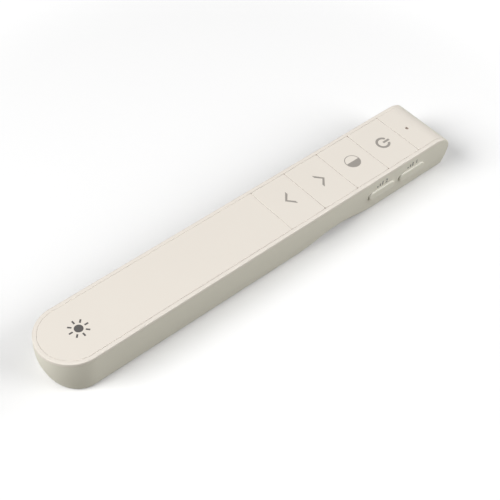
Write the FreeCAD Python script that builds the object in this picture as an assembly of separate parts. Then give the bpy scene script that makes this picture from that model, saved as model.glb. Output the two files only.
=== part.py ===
"""Wand remote for a dimmable LED light: flush keys on top, two buttons on the side, two cells inside.

+X runs towards the head with the keys, +Y to the side without buttons, +Z up.
The origin lies under the middle of the overall box, on the flat underside.
All sizes are in millimetres.
"""
import FreeCAD, Part
import math
import os

from FreeCAD import Vector

# Bought-in pieces that set the overall size
CELL_DIAMETER = 10.5
CELL_LENGTH = 44.5
CELL_NUB_DIAMETER = 3.8
CELL_NUB_LENGTH = 0.8
CELL_EDGE_BEVEL = 0.4
CELL_SPACING = 0.2
CELL_SIDE_CLEARANCE = 0.3
CELL_FLOOR_CLEARANCE = 0.4
CELL_ROOF_CLEARANCE = 0.2

# Housing walls and lengths
WALL = 1.6
FRAME_DEPTH = 3.5
GRIP_LENGTH = 97.2
HEAD_LENGTH = 16.4
KEY_COUNT = 4
KEY_PITCH = 15.95

# Outer form
UPRIGHT_BAND = 2.6
SIDE_BOW_RADIUS = 89.0
TAIL_LEAN_RADIUS = 32.0
LEAN_LEVELS = 6
BOTTOM_EDGE_RADIUS = 1.8
CAVITY_STRAIGHT_FROM = 3.3
NOSE_TOP_LENGTH = 8.7
NOSE_TOP_DROP = 6.7
NOSE_LEAN_RADIUS = 23.0
CHIN_BEVEL = 0.8
RIM_EDGE_RADIUS = 0.4
GROOVE_FROM_NOSE = 57.8
GROOVE_DEPTH = 2.7
GROOVE_HOLLOW_RADIUS = 35.4
GROOVE_SHOULDER_RADIUS = 40.0

# Rim, panels and the joint between the two housing halves
RIM = 1.46
PANEL_THICKNESS = 1.2
PANEL_GAP = 0.08
GRIP_PANEL_SHIFT = 0.04
FACE_SET_BACK = 0.05
EDGE_RADIUS = 0.1
LIP = 0.75
LIP_CLEARANCE = 0.1
PARTING_GAP = 0.08
WELL_FLOOR = 1.0
FRAME_SKIN = 1.1
FRAME_RIB = 1.0
FRAME_RIB_COUNT = 5

# Top keys
KEY_NAMES = ("power", "dim", "up", "down")
KEY_GAP = 0.1
KEY_TRAVEL = 0.4
KEY_CORNER_RADIUS = 0.6
KEY_SKIN = 1.0
KEY_SKIRT_WALL = 0.9
KEY_UNDER_CLEARANCE = 0.1
STEM_WIDTH = 4.2
STEM_WEB = 1.2
STEM_CLEARANCE = 0.4
HOOK_Y = 8.0
HOOK_WIDTH = 2.4
HOOK_THICKNESS = 0.9
HOOK_BARB = 0.4
HOOK_BARB_HEIGHT = 0.9
HOOK_CLEARANCE = 0.15
HOOK_STOP_GAP = 0.03

# Circuit board and its switches
BOARD_TOP = 7.0
BOARD_THICKNESS = 1.6
BOARD_SIDE_CLEARANCE = 0.6
BOARD_FROM_BAY = 2.7
BOARD_FROM_NOSE = 5.0
BOARD_CORNER_RADIUS = 1.5
SWITCH_SIZE = 6.0
SWITCH_BODY_HEIGHT = 3.5
SWITCH_HEIGHT = 5.0
SWITCH_SHELL = 0.5
PLUNGER_DIAMETER = 3.4
PLUNGER_CLEARANCE = 0.1
PLUNGER_SEAT = 0.9
PLUNGER_FLOOR_GAP = 0.5

# Side buttons
SIDE_COUNT = 2
SIDE_AXIS_Z = 8.8
SIDE_FROM_HEAD_SEAM = 4.2
SIDE_PITCH = 15.95
SIDE_LENGTH = 13.1
SIDE_HEIGHT = 3.6
SIDE_PROUD = 0.6
SIDE_EDGE_RADIUS = 0.45
SIDE_GAP = 0.15
SIDE_TRAVEL = 0.4
SIDE_FLANGE = 1.0
SIDE_FLANGE_THICKNESS = 0.8
SIDE_FLANGE_GAP = 0.05
SIDE_BOSS_DIAMETER = 2.4
SIDE_BOSS_LENGTH = 0.9
SIDE_SWITCH_DEPTH = 3.6
SIDE_SWITCH_WIDTH = 6.0
SIDE_PLUNGER_DIAMETER = 1.8
SIDE_PLUNGER_PROUD = 1.5
SIDE_PLUNGER_SEAT = 1.0
BOARD_NOTCH_CLEARANCE = 0.6

# Status light
LED_FROM_HEAD_SEAM = 5.0
LED_HOLE_DIAMETER = 1.4
LED_PIPE_CLEARANCE = 0.05
LED_PIPE_RECESS = 0.35
LED_PIPE_COLLAR_DIAMETER = 3.0
LED_PIPE_COLLAR_CLEARANCE = 0.15
LED_WIDTH = 1.6
LED_LENGTH = 3.2
LED_HEIGHT = 1.1
LED_LENS_HEIGHT = 0.3
LED_PIPE_STANDOFF = 0.2

# Chips on the board
CHIP_LENGTH = 5.0
CHIP_WIDTH = 4.0
CHIP_HEIGHT = 1.0
CRYSTAL_LENGTH = 4.4
CRYSTAL_WIDTH = 2.0
CRYSTAL_HEIGHT = 1.2
CRYSTAL_SPACING = 1.6
CRYSTAL_END_RADIUS = 0.9
CAPACITOR_DIAMETER = 4.0
CAPACITOR_HEIGHT = 4.6
CAPACITOR_EDGE_BEVEL = 0.3
CAPACITOR_FROM_SEAM = 1.2

# Battery bay
BAY_FROM_KEYS = 6.2
BAY_WALL = 1.2
CONTACT_THICKNESS = 0.4
CONTACT_WIDTH = 7.0
CONTACT_BOTTOM = 3.8
CONTACT_TOP_CLEARANCE = 1.2
CONTACT_TAIL_WIDTH = 2.4
CONTACT_TAIL_ON_BOARD = 3.0
CONTACT_SLOT_CLEARANCE = 0.2
BOW_REACH = 3.6
BOW_SPAN = 7.0
BOW_WIDTH = 4.0
BOW_THICKNESS = 0.3
BOW_END_GAP = 0.05

# Battery door
DOOR_GAP = 0.15
DOOR_FROM_BAY_WALL = 1.3
DOOR_SHELF_LENGTH = 10.9
DOOR_SHELF_GAP = 0.1
DOOR_SHELF_OVER_CURVE = 0.8
DOOR_TAB_WIDTH = 3.2
DOOR_TAB_LENGTH = 1.9
DOOR_TAB_ROOT = 2.5
DOOR_TAB_THICKNESS = 0.9
DOOR_TAB_CLEARANCE = 0.7
LATCH_WIDTH = 8.0
LATCH_LENGTH = 7.0
LATCH_SLOT = 0.7
LATCH_GRIP_WIDTH = 5.0
LATCH_GRIP_DEPTH = 0.5
LATCH_GRIP_RIDGES = 3
LATCH_GRIP_PITCH = 1.4
LATCH_GRIP_GROOVE = 0.6
THUMB_SCOOP_RADIUS = 5.0
THUMB_SCOOP_DEPTH = 0.8
ARROW_FROM_LATCH = 2.4
ARROW_LENGTH = 4.0
ARROW_WIDTH = 5.0
ARROW_DEPTH = 0.4

# Screws
SCREW_DIAMETER = 2.0
SCREW_CLEARANCE = 0.05
SCREW_HEAD_DIAMETER = 3.6
SCREW_HEAD_HEIGHT = 1.2
SCREW_HEAD_CLEARANCE = 0.25
SCREW_THROUGH_CLEARANCE = 0.2
SCREW_DRIVE_DEPTH = 0.6
SCREW_DRIVE_WIDTH = 0.5
SCREW_DRIVE_LENGTH = 2.0
SCREW_BITE = 4.0
POST_DIAMETER = 4.4
BOSS_HEIGHT = 0.9
HOUSING_SCREW_Y = 6.6
HOUSING_SCREW_FROM_BAY = 5.4
BOARD_SCREW_Y = 7.4
BOARD_SCREW_FROM_TAIL_END = 6.6
BOARD_SCREW_FROM_NOSE_END = 4.4

# Worked out from the sizes above
WIDTH = 2 * (CELL_DIAMETER + CELL_SIDE_CLEARANCE + WALL) + CELL_SPACING
HEIGHT = WALL + CELL_FLOOR_CLEARANCE + CELL_DIAMETER + CELL_ROOF_CLEARANCE + FRAME_DEPTH
LENGTH = GRIP_LENGTH + KEY_COUNT * KEY_PITCH + HEAD_LENGTH
HALF_WIDTH = WIDTH / 2
X_NOSE = LENGTH / 2
X_TAIL = -LENGTH / 2
X_ROUND = X_TAIL + HALF_WIDTH
X_HEAD_SEAM = X_NOSE - HEAD_LENGTH
X_GRIP_SEAM = X_HEAD_SEAM - KEY_COUNT * KEY_PITCH
X_GROOVE = X_NOSE - GROOVE_FROM_NOSE
PARTING = HEIGHT - PANEL_THICKNESS
FACE_TOP = HEIGHT - FACE_SET_BACK
FRAME_BOTTOM = HEIGHT - FRAME_DEPTH
WELL_TOP = FRAME_BOTTOM + WELL_FLOOR
PANEL_HALF = HALF_WIDTH - RIM - PANEL_GAP
INNER_HALF = HALF_WIDTH - WALL
CELL_Y = (CELL_DIAMETER + CELL_SPACING) / 2
CELL_Z = WALL + CELL_FLOOR_CLEARANCE + CELL_DIAMETER / 2
BAY_HEAD = X_GRIP_SEAM - BAY_FROM_KEYS
BAY_LENGTH = CELL_LENGTH + BOW_REACH + 2 * CONTACT_THICKNESS
BAY_TAIL = BAY_HEAD - BAY_LENGTH
DOOR_HEAD = BAY_HEAD - DOOR_FROM_BAY_WALL
DOOR_TAIL = BAY_TAIL - DOOR_SHELF_LENGTH
DOOR_HALF = INNER_HALF - DOOR_GAP
SHELF_BOTTOM = WALL + DOOR_SHELF_GAP
SHELF_TOP = CAVITY_STRAIGHT_FROM + DOOR_SHELF_OVER_CURVE
BOARD_BOTTOM = BOARD_TOP - BOARD_THICKNESS
BOARD_HALF = INNER_HALF - BOARD_SIDE_CLEARANCE
BOARD_TAIL_X = BAY_HEAD + BOARD_FROM_BAY
BOARD_NOSE_X = X_NOSE - BOARD_FROM_NOSE
SWITCH_TOP = BOARD_TOP + SWITCH_HEIGHT
X_LED = X_HEAD_SEAM + LED_FROM_HEAD_SEAM
SIDE_FLANGE_Y = -INNER_HALF + SIDE_FLANGE_GAP
SIDE_BOSS_Y = SIDE_FLANGE_Y + SIDE_FLANGE_THICKNESS
SIDE_TIP_Y = SIDE_BOSS_Y + SIDE_BOSS_LENGTH
SIDE_SWITCH_Y = SIDE_TIP_Y + SIDE_PLUNGER_PROUD
CONTACT_TOP = CELL_Z + CELL_DIAMETER / 2 - CONTACT_TOP_CLEARANCE
HOUSING_SCREW_X = BAY_TAIL - HOUSING_SCREW_FROM_BAY
BOSS_TOP = SHELF_TOP + BOSS_HEIGHT

# The overall box is wider on the side of the buttons, so all pieces move over by half of that
TO_ORIGIN = Vector(0, SIDE_PROUD / 2, 0)
BEYOND = 1.0


def block(x_low, x_high, y_low, y_high, z_low, z_high):
    """Box between two corners."""
    corner = Vector(x_low, y_low, z_low)
    return Part.makeBox(x_high - x_low, y_high - y_low, z_high - z_low, corner)


def upright(x, y, z_low, z_high, diameter):
    """Round bar standing along Z."""
    return Part.makeCylinder(diameter / 2, z_high - z_low, Vector(x, y, z_low))


def sideways(x, y, length, diameter):
    """Round bar lying along Y at the height of the side buttons."""
    return Part.makeCylinder(diameter / 2, length, Vector(x, y, SIDE_AXIS_Z), Vector(0, 1, 0))


def rounded_block(x_low, x_high, y_low, y_high, z_low, z_high, radius):
    """Box with its four upright edges rounded."""
    body = block(x_low, x_high, y_low, y_high, z_low, z_high)
    return body.makeFillet(radius, [edge for edge in body.Edges if is_upright(edge)])


def is_upright(edge):
    """True for an edge that stands along Z."""
    box = edge.BoundBox
    return box.XLength < 0.001 and box.YLength < 0.001


def edges_at_height(shape, z):
    """Edges that lie wholly in the level plane at z."""
    return [edge for edge in shape.Edges
            if abs(edge.BoundBox.ZMin - z) < 0.001 and abs(edge.BoundBox.ZMax - z) < 0.001]


def arc_through(centre, radius, start, end):
    """Arc in the XZ plane about a centre, between two angles in degrees, as an edge."""
    points = []
    for angle in (start, (start + end) / 2, end):
        turn = math.radians(angle)
        points.append(centre + Vector(radius * math.cos(turn), 0, radius * math.sin(turn)))
    return Part.Arc(*points).toShape()


def nose_edges(inset):
    """The nose in side view, from the flat top over the tip to the underside."""
    middle_z = HEIGHT - NOSE_TOP_DROP
    centre = Vector(X_NOSE - NOSE_TOP_LENGTH, 0, middle_z)
    tip = centre + Vector(NOSE_TOP_LENGTH - inset, 0, 0)
    crown = centre + Vector(0, 0, NOSE_TOP_DROP - inset)
    if NOSE_TOP_LENGTH >= NOSE_TOP_DROP:
        oval = Part.Ellipse(tip, crown, centre)
        brow = Part.Arc(oval, 0, math.pi / 2)
    else:
        oval = Part.Ellipse(crown, tip, centre)
        brow = Part.Arc(oval, 0, math.pi / 2)
    radius = NOSE_LEAN_RADIUS - inset
    drop = math.degrees(math.asin((middle_z - inset) / radius))
    chin = arc_through(Vector(X_NOSE - NOSE_LEAN_RADIUS, 0, middle_z), radius, 0, -drop)
    return [brow.toShape(), chin]


def groove_edges(inset):
    """The finger groove in side view: a hollow between two shoulders, all tangent."""
    span = GROOVE_HOLLOW_RADIUS + GROOVE_SHOULDER_RADIUS
    angle = math.degrees(math.acos((span - GROOVE_DEPTH) / span))
    reach = span * math.sin(math.radians(angle))
    hollow = Vector(X_GROOVE, 0, GROOVE_DEPTH - GROOVE_HOLLOW_RADIUS)
    head_side = Vector(X_GROOVE + reach, 0, GROOVE_SHOULDER_RADIUS)
    tail_side = Vector(X_GROOVE - reach, 0, GROOVE_SHOULDER_RADIUS)
    shoulder = GROOVE_SHOULDER_RADIUS - inset
    return [arc_through(head_side, shoulder, -90, -90 - angle),
            arc_through(hollow, GROOVE_HOLLOW_RADIUS + inset, 90 - angle, 90 + angle),
            arc_through(tail_side, shoulder, -90 + angle, -90)]


def side_view(inset, x_end, half):
    """Solid with the outline of the housing in side view, from an upright cut at the tail end."""
    nose = nose_edges(inset)
    groove = groove_edges(inset)
    top = HEIGHT - inset
    crown = Vector(X_NOSE - NOSE_TOP_LENGTH, 0, top)
    chin = Vector(nose[1].BoundBox.XMin, 0, inset)
    groove_head = Vector(groove[0].BoundBox.XMax, 0, inset)
    groove_tail = Vector(groove[2].BoundBox.XMin, 0, inset)
    tail_low = Vector(x_end, 0, inset)
    tail_high = Vector(x_end, 0, top)
    outline = [Part.makeLine(tail_high, crown)] + nose
    outline += [Part.makeLine(chin, groove_head)] + groove
    outline += [Part.makeLine(groove_tail, tail_low), Part.makeLine(tail_low, tail_high)]
    wire = Part.Wire(Part.sortEdges(outline)[0])
    wire.translate(Vector(0, -half, 0))
    return Part.Face(wire).extrude(Vector(0, 2 * half, 0))


def drawn_in(radius, drop):
    """How far a wall that leaves the upright band along an arc has come in after a drop."""
    return radius - math.sqrt(radius ** 2 - drop ** 2)


def half_oval(across, along, z):
    """Half oval at the round end, from the far side over the tail to the near side."""
    centre = Vector(X_ROUND, 0, z)
    far_side = centre + Vector(0, across, 0)
    tail = centre + Vector(-along, 0, 0)
    near_side = centre + Vector(0, -across, 0)
    if across > along:
        return Part.Arc(Part.Ellipse(far_side, tail, centre), 0, math.pi).toShape()
    return Part.Arc(far_side, tail, near_side).toShape()


def round_outline(half, drop, z):
    """Half oval closed by a straight chord, for sides that stay upright."""
    chord = Part.makeLine(Vector(X_ROUND, -half, z), Vector(X_ROUND, half, z))
    return Part.Wire([half_oval(half, half - drawn_in(TAIL_LEAN_RADIUS, drop), z), chord])


def full_outline(drop, z):
    """The whole housing in plan: the half oval and two straight sides, bowed in by the drop."""
    across = HALF_WIDTH - drawn_in(SIDE_BOW_RADIUS, drop)
    along = HALF_WIDTH - drawn_in(TAIL_LEAN_RADIUS, drop)
    x_end = X_NOSE + BEYOND
    corners = [Vector(X_ROUND, -across, z), Vector(x_end, -across, z),
               Vector(x_end, across, z), Vector(X_ROUND, across, z)]
    sides = [Part.makeLine(start, end) for start, end in zip(corners, corners[1:])]
    return Part.Wire([half_oval(across, along, z)] + sides)


def leaning_walls(inset, outline):
    """Solid that is upright below the rim and follows an outline for each level under that."""
    turn_z = HEIGHT - UPRIGHT_BAND
    levels = []
    for step in range(LEAN_LEVELS):
        drop = (turn_z - inset) * step / (LEAN_LEVELS - 1)
        levels.append(outline(drop, turn_z - drop))
    band = Part.Face(levels[0]).extrude(Vector(0, 0, UPRIGHT_BAND - inset))
    return band.fuse(Part.makeLoft(levels, True, False))


def underside_edges(body, inset):
    """The edges that run round the underside, along the groove as well."""
    found = []
    for edge in body.Edges:
        box = edge.BoundBox
        crosses = box.XLength < 0.001 and box.YLength > HALF_WIDTH
        at_chin = crosses and box.XMin > X_GROOVE + GROOVE_HOLLOW_RADIUS
        if box.ZMax < inset + GROOVE_DEPTH + 0.01 and (at_chin or not crosses):
            found.append(edge)
    return found


def hull(inset):
    """The housing's form drawn in all round by an inset, its sides upright."""
    half = HALF_WIDTH - inset
    round_end = leaning_walls(inset, lambda drop, z: round_outline(half, drop, z))
    body = side_view(inset, X_ROUND, half).fuse(round_end).removeSplitter()
    return body.makeFillet(CAVITY_STRAIGHT_FROM - inset, underside_edges(body, inset))


def nose_side_edges(body):
    """The edges where the nose meets the two sides."""
    bow = drawn_in(SIDE_BOW_RADIUS, HEIGHT - UPRIGHT_BAND)
    found = []
    for edge in body.Edges:
        box = edge.BoundBox
        on_side = box.YLength < bow and abs(box.Center.y) > HALF_WIDTH - bow
        if on_side and box.XMin > X_NOSE - NOSE_TOP_LENGTH - 0.001:
            found.append(edge)
    return found


def chin_bevel():
    """Wedge that takes the sharp edge off the chin, right across the housing."""
    lean = math.asin((HEIGHT - NOSE_TOP_DROP) / NOSE_LEAN_RADIUS)
    edge = Vector(nose_edges(0)[1].BoundBox.XMin, -WIDTH, 0)
    back = edge - Vector(CHIN_BEVEL, 0, 0)
    up = edge + Vector(CHIN_BEVEL * math.sin(lean), 0, CHIN_BEVEL * math.cos(lean))
    beyond = (up - back).normalize() * BEYOND
    low = back - beyond
    high = up + beyond
    corners = [low, high, Vector(high.x, high.y, low.z), low]
    return Part.Face(Part.makePolygon(corners)).extrude(Vector(0, 2 * WIDTH, 0))


def outer_form():
    """The housing's outside, its edges rounded along the underside and down the nose."""
    side = side_view(0, X_TAIL - BEYOND, HALF_WIDTH + BEYOND)
    body = leaning_walls(0, full_outline).common(side)
    along = [edge for edge in underside_edges(body, 0) if edge.BoundBox.XLength > 0.001]
    body = body.makeFillet(BOTTOM_EDGE_RADIUS, along)
    body = body.makeFillet(RIM_EDGE_RADIUS, nose_side_edges(body))
    return body.cut(chin_bevel())


def layer(shape, z_low, z_high):
    """The part of a shape between two levels."""
    return shape.common(block(-LENGTH, LENGTH, -WIDTH, WIDTH, z_low, z_high))


def grip_outline(inset, z_low, z_high, x_end):
    """Prism with the plan of the round end and the grip, drawn in by an inset."""
    half = HALF_WIDTH - inset
    bar = block(X_ROUND, x_end, -half, half, z_low, z_high)
    disc = upright(X_ROUND, 0, z_low, z_high, 2 * half)
    return bar.fuse(disc).removeSplitter()


def key_x(index):
    """Middle of a key, counted from the head."""
    return X_HEAD_SEAM - KEY_PITCH * (index + 0.5)


def side_x(index):
    """Middle of a side button, counted from the head."""
    return X_HEAD_SEAM - SIDE_FROM_HEAD_SEAM - SIDE_PITCH * index


def board_screw_places():
    """The four board screws."""
    tail_x = BOARD_TAIL_X + BOARD_SCREW_FROM_TAIL_END
    nose_x = BOARD_NOSE_X - BOARD_SCREW_FROM_NOSE_END
    return [(x, y) for x in (tail_x, nose_x) for y in (-BOARD_SCREW_Y, BOARD_SCREW_Y)]


def housing_screw_places():
    """The two housing screws under the battery door."""
    return [(HOUSING_SCREW_X, y) for y in (-HOUSING_SCREW_Y, HOUSING_SCREW_Y)]


def top_frame(outer):
    """The rim, the floor that the keys and panels sit on, and the posts for board and screws."""
    rim_half = HALF_WIDTH - RIM
    rim = layer(outer, PARTING, HEIGHT)
    tongue = layer(hull(LIP + LIP_CLEARANCE), FRAME_BOTTOM, PARTING)
    frame = rim.fuse(tongue)
    frame = frame.cut(grip_outline(RIM, PARTING, HEIGHT + BEYOND, X_GRIP_SEAM))
    above = HEIGHT + BEYOND
    frame = frame.cut(block(X_GRIP_SEAM - BEYOND, X_NOSE + BEYOND, -rim_half, rim_half, PARTING, above))
    frame = frame.cut(block(X_GRIP_SEAM, X_HEAD_SEAM, -rim_half, rim_half, WELL_TOP, above))
    frame = frame.cut(frame_hollows())
    for index in range(KEY_COUNT):
        frame = frame.cut(key_openings(key_x(index)))
    frame = frame.cut(upright(X_LED, 0, FRAME_BOTTOM - BEYOND, PARTING + BEYOND,
                              LED_PIPE_COLLAR_DIAMETER + 2 * LED_PIPE_COLLAR_CLEARANCE))
    for x, y in board_screw_places():
        frame = frame.fuse(upright(x, y, BOARD_TOP, WELL_TOP, POST_DIAMETER))
    for x, y in housing_screw_places():
        frame = frame.fuse(upright(x, y, BOSS_TOP, PARTING - FRAME_SKIN, POST_DIAMETER))
    for x, y in board_screw_places():
        frame = frame.cut(upright(x, y, BOARD_TOP - BEYOND, BOARD_TOP + SCREW_BITE + SCREW_CLEARANCE,
                                  SCREW_DIAMETER + 2 * SCREW_CLEARANCE))
    for x, y in housing_screw_places():
        frame = frame.cut(upright(x, y, BOSS_TOP - BEYOND, BOSS_TOP + SCREW_BITE + SCREW_CLEARANCE,
                                  SCREW_DIAMETER + 2 * SCREW_CLEARANCE))
    frame = frame.removeSplitter()
    return frame.makeFillet(EDGE_RADIUS, rim_inner_edges(frame))


def rim_inner_edges(frame):
    """The rim's long inner edges beside keys and panels, on the flat top."""
    rim_half = HALF_WIDTH - RIM
    return [edge for edge in edges_at_height(frame, HEIGHT)
            if edge.BoundBox.YLength < 0.001 and abs(abs(edge.BoundBox.YMin) - rim_half) < 0.001]


def frame_hollows():
    """Pockets under the grip and the head, with cross ribs left between them."""
    half = INNER_HALF - FRAME_RIB
    roof = PARTING - FRAME_SKIN
    start = X_ROUND
    end = X_GRIP_SEAM - FRAME_RIB
    pitch = (end - start + FRAME_RIB) / FRAME_RIB_COUNT
    pockets = []
    for index in range(FRAME_RIB_COUNT):
        x = start + pitch * index
        pockets.append(block(x, x + pitch - FRAME_RIB, -half, half, FRAME_BOTTOM - BEYOND, roof))
    nose_end = X_NOSE - NOSE_TOP_LENGTH
    pockets.append(block(X_HEAD_SEAM + FRAME_RIB, nose_end, -half, half, FRAME_BOTTOM - BEYOND, WELL_TOP))
    return pockets


def key_openings(x):
    """Openings in the frame's floor for one key's stem and its two hooks."""
    half = STEM_WIDTH / 2 + STEM_CLEARANCE
    low = FRAME_BOTTOM - BEYOND
    high = WELL_TOP + BEYOND
    openings = [block(x - half, x + half, -half, half, low, high)]
    hook_half = HOOK_WIDTH / 2 + HOOK_CLEARANCE
    inner = HOOK_Y - HOOK_CLEARANCE
    outer = HOOK_Y + HOOK_THICKNESS + HOOK_CLEARANCE
    openings.append(block(x - hook_half, x + hook_half, inner, outer, low, high))
    openings.append(block(x - hook_half, x + hook_half, -outer, -inner, low, high))
    return openings


def bottom_shell(outer):
    """The lower housing with its bay walls, screw shelf and the holes for door and side buttons."""
    shell = layer(outer, 0, PARTING - PARTING_GAP)
    cavity = layer(hull(WALL), 0, FRAME_BOTTOM)
    shell = shell.cut([cavity, layer(hull(LIP), FRAME_BOTTOM, PARTING)])
    shell = shell.fuse(bay_walls(cavity))
    shell = shell.fuse(screw_shelf(cavity))
    shell = shell.cut(outer.common(door_plan(DOOR_GAP)).cut(hull(SHELF_BOTTOM)))
    for x, y in housing_screw_places():
        shell = shell.cut(screw_way(x, y))
    for index in range(SIDE_COUNT):
        shell = shell.cut(side_hole(side_x(index)))
    shell = shell.cut(thumb_scoop())
    return shell.removeSplitter()


def bay_walls(cavity):
    """Cross walls at both ends of the battery bay."""
    high = FRAME_BOTTOM - LIP_CLEARANCE
    head = block(BAY_HEAD, BAY_HEAD + BAY_WALL, -HALF_WIDTH, HALF_WIDTH, 0, high)
    tail = block(BAY_TAIL - BAY_WALL, BAY_TAIL, -HALF_WIDTH, HALF_WIDTH, SHELF_BOTTOM, high)
    slot_half = CONTACT_TAIL_WIDTH / 2 + CONTACT_SLOT_CLEARANCE
    slot_low = BOARD_TOP - CONTACT_SLOT_CLEARANCE
    slot_high = BOARD_TOP + CONTACT_THICKNESS + CONTACT_SLOT_CLEARANCE
    for y in (-CELL_Y, CELL_Y):
        head = head.cut(block(BAY_HEAD - BEYOND, BAY_HEAD + BAY_WALL + BEYOND,
                              y - slot_half, y + slot_half, slot_low, slot_high))
    tab_half = DOOR_TAB_WIDTH / 2 + DOOR_TAB_CLEARANCE
    tab_roof = WALL + DOOR_SHELF_GAP + DOOR_TAB_THICKNESS + DOOR_TAB_CLEARANCE
    head = head.cut(block(BAY_HEAD - BEYOND, BAY_HEAD + BAY_WALL + BEYOND,
                          -tab_half, tab_half, WALL, tab_roof))
    return [head.common(cavity), tail.common(cavity)]


def screw_shelf(cavity):
    """The shelf over the door's tail end, with two bosses for the housing screws."""
    end = DOOR_TAIL - DOOR_GAP - WALL
    shelf = block(end, BAY_TAIL, -HALF_WIDTH, HALF_WIDTH, SHELF_BOTTOM, SHELF_TOP)
    step = block(end, DOOR_TAIL - DOOR_GAP, -HALF_WIDTH, HALF_WIDTH, 0, SHELF_TOP)
    bosses = [upright(x, y, SHELF_BOTTOM, BOSS_TOP, SCREW_HEAD_DIAMETER + 2 * WALL)
              for x, y in housing_screw_places()]
    return [piece.common(cavity) for piece in [shelf, step] + bosses]


def screw_way(x, y):
    """Countersunk way for one housing screw, from under the shelf."""
    head_top = SHELF_BOTTOM + SCREW_HEAD_HEIGHT + SCREW_HEAD_CLEARANCE
    head = upright(x, y, SHELF_BOTTOM - BEYOND, head_top, SCREW_HEAD_DIAMETER + 2 * SCREW_HEAD_CLEARANCE)
    shank = upright(x, y, SHELF_BOTTOM, BOSS_TOP + BEYOND, SCREW_DIAMETER + 2 * SCREW_THROUGH_CLEARANCE)
    return head.fuse(shank)


def door_plan(gap):
    """The door's plan as a prism up to where the sides get straight, larger all round by a gap."""
    half = DOOR_HALF + gap
    return block(DOOR_TAIL - gap, DOOR_HEAD + gap, -half, half, -BEYOND, CAVITY_STRAIGHT_FROM)


def thumb_scoop():
    """Shallow dish in the underside, past the door's latch."""
    ball = (THUMB_SCOOP_RADIUS ** 2 + THUMB_SCOOP_DEPTH ** 2) / (2 * THUMB_SCOOP_DEPTH)
    dish = Part.makeSphere(ball, Vector(DOOR_TAIL - DOOR_GAP, 0, THUMB_SCOOP_DEPTH - ball))
    return dish.common(block(X_TAIL, DOOR_TAIL - DOOR_GAP, -HALF_WIDTH, HALF_WIDTH, -BEYOND, WALL))


def stadium(x, length, height, y_low, y_high):
    """Bar with round ends along X, standing out of the side."""
    radius = height / 2
    reach = length / 2 - radius
    bar = block(x - reach, x + reach, y_low, y_high, SIDE_AXIS_Z - radius, SIDE_AXIS_Z + radius)
    ends = [sideways(end, y_low, y_high - y_low, height) for end in (x - reach, x + reach)]
    return bar.fuse(ends).removeSplitter()


def side_hole(x):
    """Hole in the side wall for one side button."""
    length = SIDE_LENGTH + 2 * SIDE_GAP
    height = SIDE_HEIGHT + 2 * SIDE_GAP
    return stadium(x, length, height, -HALF_WIDTH - BEYOND, -INNER_HALF + BEYOND)


def side_button(x):
    """Side button with its retaining flange and the boss that reaches the switch."""
    face_y = -HALF_WIDTH - SIDE_PROUD
    cap = stadium(x, SIDE_LENGTH, SIDE_HEIGHT, face_y, SIDE_FLANGE_Y + SIDE_FLANGE_THICKNESS)
    rim = [edge for edge in cap.Edges if abs(edge.BoundBox.YMax - face_y) < 0.001]
    cap = cap.makeFillet(SIDE_EDGE_RADIUS, rim)
    flange = stadium(x, SIDE_LENGTH + 2 * SIDE_FLANGE, SIDE_HEIGHT + SIDE_FLANGE,
                     SIDE_FLANGE_Y, SIDE_FLANGE_Y + SIDE_FLANGE_THICKNESS)
    boss = sideways(x, SIDE_BOSS_Y, SIDE_BOSS_LENGTH, SIDE_BOSS_DIAMETER)
    return cap.fuse([flange, boss]).removeSplitter()


def side_switch(x):
    """Right-angle switch at the board's edge, its plunger way towards the side."""
    half = SIDE_SWITCH_WIDTH / 2
    body = block(x - half, x + half, SIDE_SWITCH_Y, SIDE_SWITCH_Y + SIDE_SWITCH_DEPTH,
                 BOARD_TOP, 2 * SIDE_AXIS_Z - BOARD_TOP)
    depth = SIDE_PLUNGER_SEAT + PLUNGER_FLOOR_GAP
    return body.cut(sideways(x, SIDE_SWITCH_Y, depth, SIDE_PLUNGER_DIAMETER + 2 * PLUNGER_CLEARANCE))


def side_plunger(x):
    """Plunger of a side switch, from the button's boss into the switch."""
    return sideways(x, SIDE_TIP_Y, SIDE_PLUNGER_PROUD + SIDE_PLUNGER_SEAT, SIDE_PLUNGER_DIAMETER)


def key(x):
    """Key cap with its skirt, cross stem and two hooks."""
    x_low = x - (KEY_PITCH - KEY_GAP) / 2
    x_high = x + (KEY_PITCH - KEY_GAP) / 2
    skirt_z = WELL_TOP + KEY_TRAVEL + KEY_UNDER_CLEARANCE
    roof = FACE_TOP - KEY_SKIN
    cap = rounded_block(x_low, x_high, -PANEL_HALF, PANEL_HALF, skirt_z, FACE_TOP, KEY_CORNER_RADIUS)
    cap = cap.makeFillet(EDGE_RADIUS, edges_at_height(cap, FACE_TOP))
    wall = KEY_SKIRT_WALL
    half = PANEL_HALF - wall
    cap = cap.cut(block(x_low + wall, x_high - wall, -half, half, skirt_z - BEYOND, roof))
    arm = STEM_WIDTH / 2
    web = STEM_WEB / 2
    along = block(x - arm, x + arm, -web, web, SWITCH_TOP, roof)
    across = block(x - web, x + web, -arm, arm, SWITCH_TOP, roof)
    hooks = [key_hook(x, side, roof) for side in (-1, 1)]
    return cap.fuse([along, across] + hooks).removeSplitter()


def key_hook(x, side, roof):
    """One hook: a leg through the frame's floor with a barb under it."""
    stop = FRAME_BOTTOM - HOOK_STOP_GAP
    foot = stop - HOOK_BARB_HEIGHT
    back = HOOK_Y + HOOK_THICKNESS
    tip = back + HOOK_CLEARANCE + HOOK_BARB
    outline = [(HOOK_Y, roof), (HOOK_Y, foot), (back, foot), (tip, stop), (back, stop), (back, roof)]
    corners = [Vector(x - HOOK_WIDTH / 2, side * y, z) for y, z in outline]
    return Part.Face(Part.makePolygon(corners + corners[:1])).extrude(Vector(HOOK_WIDTH, 0, 0))


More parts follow.
